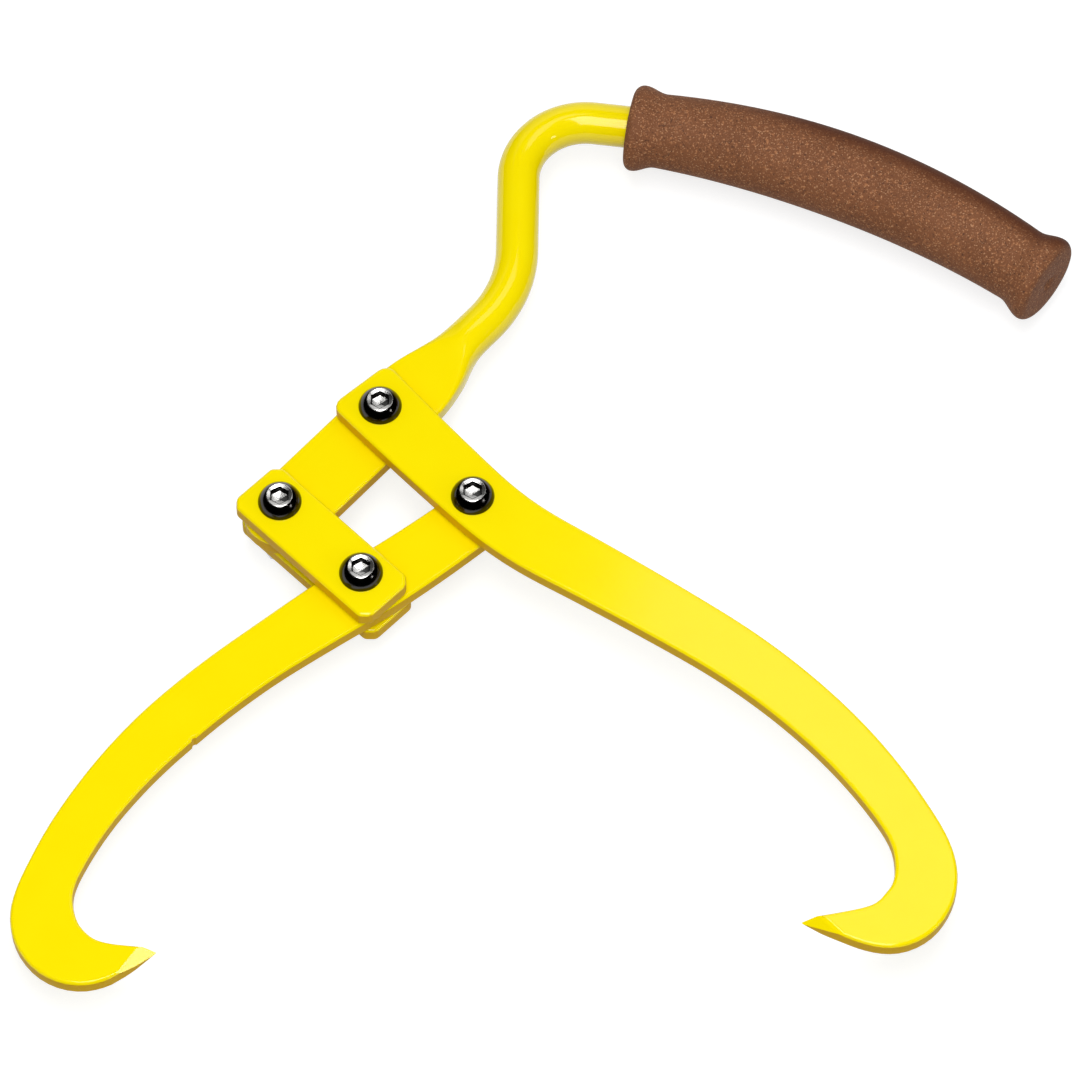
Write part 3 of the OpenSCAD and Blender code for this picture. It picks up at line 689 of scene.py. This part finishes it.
# %% Grip
bm = bmesh.new()
ring = bmesh.ops.create_circle(bm, segments=GRIP_SIDES, radius=MM)["verts"]
for index, (s, r) in enumerate(grip_rows):
    if index:
        ring = pull_ring(bm, ring)
    for k, vert in enumerate(ring):
        vert.co = grip_ring_point(s, r, 2 * math.pi * k / GRIP_SIDES)
bmesh.ops.contextual_create(bm, geom=ring)
bmesh.ops.holes_fill(bm, edges=[e for e in bm.edges if len(e.link_faces) == 1], sides=0)
grip = piece("Grip", bm, "handle", ["grip"], [grip_plastic])
print("grip:", len(grip.data.vertices), "vertices")

# %% [markdown]
# A button-head screw is a turned part, so its head starts as rings round its axis: rim, dome, shoulder,
# flat. The socket is broached: the ring on the flat is drawn in to a hexagon and pushed down, with a shallow
# cone that leads the key in. The key wears the plate off the shoulder, the cone and the bottom of the
# socket, and leaves it on the dome and the walls.

# %% Screw sizes, in millimetres
HEAD_R, HEAD_H, HEAD_RIM_H, FLAT_R = 7.0, 4.4, 0.4, 4.0
RIM_BREAK = 0.15
SHOULDER_R, SHOULDER_W = 4.6, 0.55
SHOULDER_STEEP, SHOULDER_BEND = 0.8, 0.3
LEAD_IN, LEAD_IN_W = 0.4, 5.9
MOUTH_DEPTH, MOUTH_W = 0.7, 5.2
SOCKET_DEPTH, SOCKET_W = 2.6, 5.0
DRILL_DEPTH, DRILL_TIP_R = 3.2, 0.4
SCREW_R, THREAD_CHAMFER = 4.0, 0.6
HEAD_SIDES = 72


def hexagon_radius(width, angle):
    return width / 2 / math.cos((angle + math.pi / 6) % (math.pi / 3) - math.pi / 6)


# %% A screw's profile
def screw_rows(low_z, top_z):
    """Rows of radius or hexagon width, height in metres, whether a hexagon, and whether worn bright."""
    seat_z = top_z - HEAD_H * MM
    drop = (HEAD_H ** 2 - HEAD_RIM_H ** 2 - HEAD_R ** 2 + FLAT_R ** 2) / (2 * (HEAD_H - HEAD_RIM_H))
    dome_r = math.hypot(HEAD_R, HEAD_RIM_H - drop)
    first = math.atan2(HEAD_RIM_H - drop, HEAD_R)
    last = math.acos(SHOULDER_R / dome_r)
    shoulder_drop = HEAD_H - drop - dome_r * math.sin(last)
    outline = [(SCREW_R - THREAD_CHAMFER, low_z), (SCREW_R, low_z + THREAD_CHAMFER * MM)]
    outline += [(SCREW_R, seat_z), (HEAD_R - RIM_BREAK, seat_z), (HEAD_R, seat_z + RIM_BREAK * MM)]
    outline += [
        (dome_r * math.cos(a), seat_z + (drop + dome_r * math.sin(a)) * MM)
        for a in [mix(first, last, k / 12) for k in range(13)]
    ]
    rows = [(radius, z, False, False) for radius, z in outline]
    for k in range(1, 5):
        width = SHOULDER_W * k / 4
        rise = SHOULDER_STEEP * width - SHOULDER_BEND * width ** 2 / SHOULDER_W
        rows.append((SHOULDER_R - width, top_z - (shoulder_drop - rise) * MM, False, k > 2))
    rows.append((LEAD_IN_W, top_z - LEAD_IN * MM, True, True))
    rows.append((MOUTH_W, top_z - MOUTH_DEPTH * MM, True, False))
    rows.append((SOCKET_W, top_z - SOCKET_DEPTH * MM, True, False))
    rows.append((DRILL_TIP_R, top_z - DRILL_DEPTH * MM, False, True))
    return rows


# %% Button-head screws
PLATED, WORN = 0, 1


def pivot_screw(node, body, pivot):
    low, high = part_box(node)
    bm = bmesh.new()
    ring = bmesh.ops.create_circle(bm, segments=HEAD_SIDES, radius=MM)["verts"]
    bmesh.ops.contextual_create(bm, geom=ring)
    for index, (size, z, is_hexagon, is_worn) in enumerate(screw_rows(low.z, high.z)):
        if index:
            known = set(bm.faces)
            ring = pull_ring(bm, ring)
            for face in set(bm.faces) - known:
                face.material_index = WORN if is_worn else PLATED
        for k, vert in enumerate(ring):
            angle = 2 * math.pi * k / HEAD_SIDES
            radius = MM * (hexagon_radius(size, angle) if is_hexagon else size)
            vert.co = (pivot.x + radius * math.cos(angle), pivot.y + radius * math.sin(angle), z)
    for face in bmesh.ops.contextual_create(bm, geom=ring)["faces"]:
        face.material_index = WORN
    return piece(node.title(), bm, body, [node], [black_nickel, bright_steel], SHARP_FOLD)


screws = [
    pivot_screw("arm_pivot_screw", "handle", arm_pivot),
    pivot_screw("jaw_pivot_screw", "right_arm", jaw_pivot),
    pivot_screw("heel_pivot_screw", "links", heel_pivot),
    pivot_screw("toe_pivot_screw", "links", toe_pivot),
]
print("screws:", [screw.name for screw in screws])

# %% [markdown]
# Nuts, washers and nylon rings are small turned and pressed parts. Copies of their solids with broken edges
# are enough: nobody sees them from above.

# %% Nuts, washers and rings
SMALL_EDGE = {"nut": 0.2, "washer": 0.25, "shim": 0.08, "shims": 0.08, "insert": 0.2}
pivot_bodies = {"arm_pivot": "handle", "jaw_pivot": "right_arm", "heel_pivot": "links", "toe_pivot": "links"}
small_parts = []
for node in sorted(frame["nodes"]):
    pivot_name, _, kind = node.rpartition("_")
    if kind not in SMALL_EDGE:
        continue
    bm = merged_copy(node)
    bmesh.ops.bevel(
        bm, geom=[e for e in bm.edges if fold(e) > SHARP_FOLD], offset=SMALL_EDGE[kind] * MM,
        offset_type="OFFSET", segments=2, profile=0.5, affect="EDGES", material=-1, clamp_overlap=True,
    )
    slot, material = ("nylon", nylon) if kind == "insert" else ("zinc", zinc_plate)
    small_parts.append(
        keep_faces_flat(piece(node.title(), bm, pivot_bodies[pivot_name], [node], [material]))
    )
print("small parts:", len(small_parts))

# %% [markdown]
# The studio: the tongs lie on a white sheet under one big soft box, in a room that is evenly lit. Glossy
# faces mirror only a strip of pale wall behind the tongs, so that black plating stays black. A card hangs
# where the right arm mirrors it, and turns its top paler. A small lamp at the right lights up the ground
# facet of the left hook. To the camera the sheet and the room are plain white, and the sheet also shows as
# white in plating.

# %% Floor
FLOOR_HALF = 3.0
FLOOR_GAP = 0.2 * MM
FLOOR_GLOW = 0.74

floor_mesh = bpy.data.meshes.new("Floor")
bm = bmesh.new()
bmesh.ops.create_grid(bm, x_segments=1, y_segments=1, size=FLOOR_HALF)
bmesh.ops.translate(bm, verts=bm.verts[:], vec=(0, 0, -FLOOR_GAP))
bm.to_mesh(floor_mesh)
bm.free()
floor = bpy.data.objects.new("Floor", floor_mesh)
bpy.context.scene.collection.objects.link(floor)
floor_sheet, tree, shader = new_material(
    "white paper sheet", Base_Color=linear("#ACACAC"), Roughness=0.9, Specular_IOR_Level=0.1,
    Emission_Color=WHITE,
)
rays = add_node(tree, "LightPath").outputs
seen = add_node(tree, "Math", {0: rays["Is Camera Ray"], 1: rays["Is Glossy Ray"]}, operation="MAXIMUM")
glow = add_node(tree, "Math", {0: seen.outputs[0], 1: FLOOR_GLOW}, operation="MULTIPLY")
tree.links.new(glow.outputs[0], shader.inputs["Emission Strength"])
floor_mesh.materials.append(floor_sheet)
print("floor:", floor.name, "of", floor_sheet.name)

# %% The room
FILL = 0.36
WALL = 0.9
WALL_HEIGHT = (-0.1, 0.7, 0.05)
WALL_NORTH = (0.1, 2.0, 0.1)
WALL_EAST = (-0.3, 0.3, 0.2)

world = bpy.data.worlds.new("studio walls")
bpy.context.scene.world = world
world.use_nodes = True
tree = world.node_tree
background = tree.nodes["Background"]
direction = add_node(tree, "TexCoord").outputs["Generated"]
east, north, height = add_node(tree, "SeparateXYZ", {"Vector": direction}).outputs
rays = add_node(tree, "LightPath").outputs


def band(value, low, high, soft):
    """1 where the value lies between low and high, with soft edges."""
    rise = add_node(tree, "MapRange", {"Value": value, "From Min": low - soft, "From Max": low + soft})
    fall = add_node(tree, "MapRange", {"Value": value, "From Min": high + soft, "From Max": high - soft})
    return add_node(tree, "Math", {0: rise.outputs[0], 1: fall.outputs[0]}, operation="MULTIPLY").outputs[0]


mirrored = WALL
for limits in (band(height, *WALL_HEIGHT), band(north, *WALL_NORTH), band(east, *WALL_EAST)):
    mirrored = add_node(tree, "Math", {0: mirrored, 1: limits}, operation="MULTIPLY").outputs[0]
level = add_node(
    tree, "Mix", {"Factor": rays["Is Glossy Ray"], "A": FILL, "B": mirrored}, data_type="FLOAT"
).outputs[0]
strength = add_node(
    tree, "Mix", {"Factor": rays["Is Camera Ray"], "A": level, "B": 1.0}, data_type="FLOAT"
).outputs[0]
tree.links.new(strength, background.inputs["Strength"])
background.inputs["Color"].default_value = WHITE
print("room:", world.name, "at", FILL)

# %% Lamps
def soft_box(name, at, aim, width, length, radiance):
    """A rectangular lamp that is as bright to look at as the given radiance, aimed at a point."""
    lamp = bpy.data.lights.new(name, "AREA")
    lamp.shape = "RECTANGLE"
    lamp.size = width
    lamp.size_y = length
    lamp.energy = radiance * width * length * math.pi
    made = bpy.data.objects.new(name, lamp)
    made.location = at
    made.rotation_euler = (Vector(aim) - Vector(at)).to_track_quat("-Z", "Y").to_euler()
    bpy.context.scene.collection.objects.link(made)
    return made


lamps = [
    soft_box(
        "overhead soft box", at=(-0.03, -0.38, 1.2), aim=(-0.03, -0.38, 0), width=0.5, length=1.16,
        radiance=6.1,
    ),
    soft_box(
        "card behind the right arm", at=(0.31, 0.53, 1.2), aim=(0.1, -0.1, 0), width=0.56, length=0.36,
        radiance=1.75,
    ),
    soft_box(
        "lamp at the right", at=(1.19, -0.53, 0.63), aim=(-0.129, -0.157, 0.02), width=0.2, length=0.2,
        radiance=8.3,
    ),
]
print("lamps:", [lamp.name for lamp in lamps])

# %% [markdown]
# The picture is taken from far off with a long lens, looking down at the tongs, so the arms hardly taper
# with distance. The lens is worked out from the picture's scale.

# %% Camera
PHOTO_WIDTH_PX = 1080
PX_PER_MM = 3.125
PICTURE_MIDDLE_MM = (51.5, -44.2, 0)
CAMERA_DISTANCE = 2.0
CAMERA_ELEVATION = math.radians(60.5)
SENSOR_MM = 36.0

camera_data = bpy.data.cameras.new("camera")
camera_data.sensor_width = SENSOR_MM
camera_data.lens = SENSOR_MM * PX_PER_MM * CAMERA_DISTANCE / MM / PHOTO_WIDTH_PX
camera = bpy.data.objects.new("camera", camera_data)
back = Vector((0, -math.cos(CAMERA_ELEVATION), math.sin(CAMERA_ELEVATION)))
camera.location = arm_pivot + MM * Vector(PICTURE_MIDDLE_MM) + CAMERA_DISTANCE * back
camera.rotation_euler = back.to_track_quat("Z", "Y").to_euler()
bpy.context.scene.collection.objects.link(camera)
bpy.context.scene.camera = camera
bpy.context.scene.view_settings.view_transform = "Standard"
print("lens:", camera_data.lens)
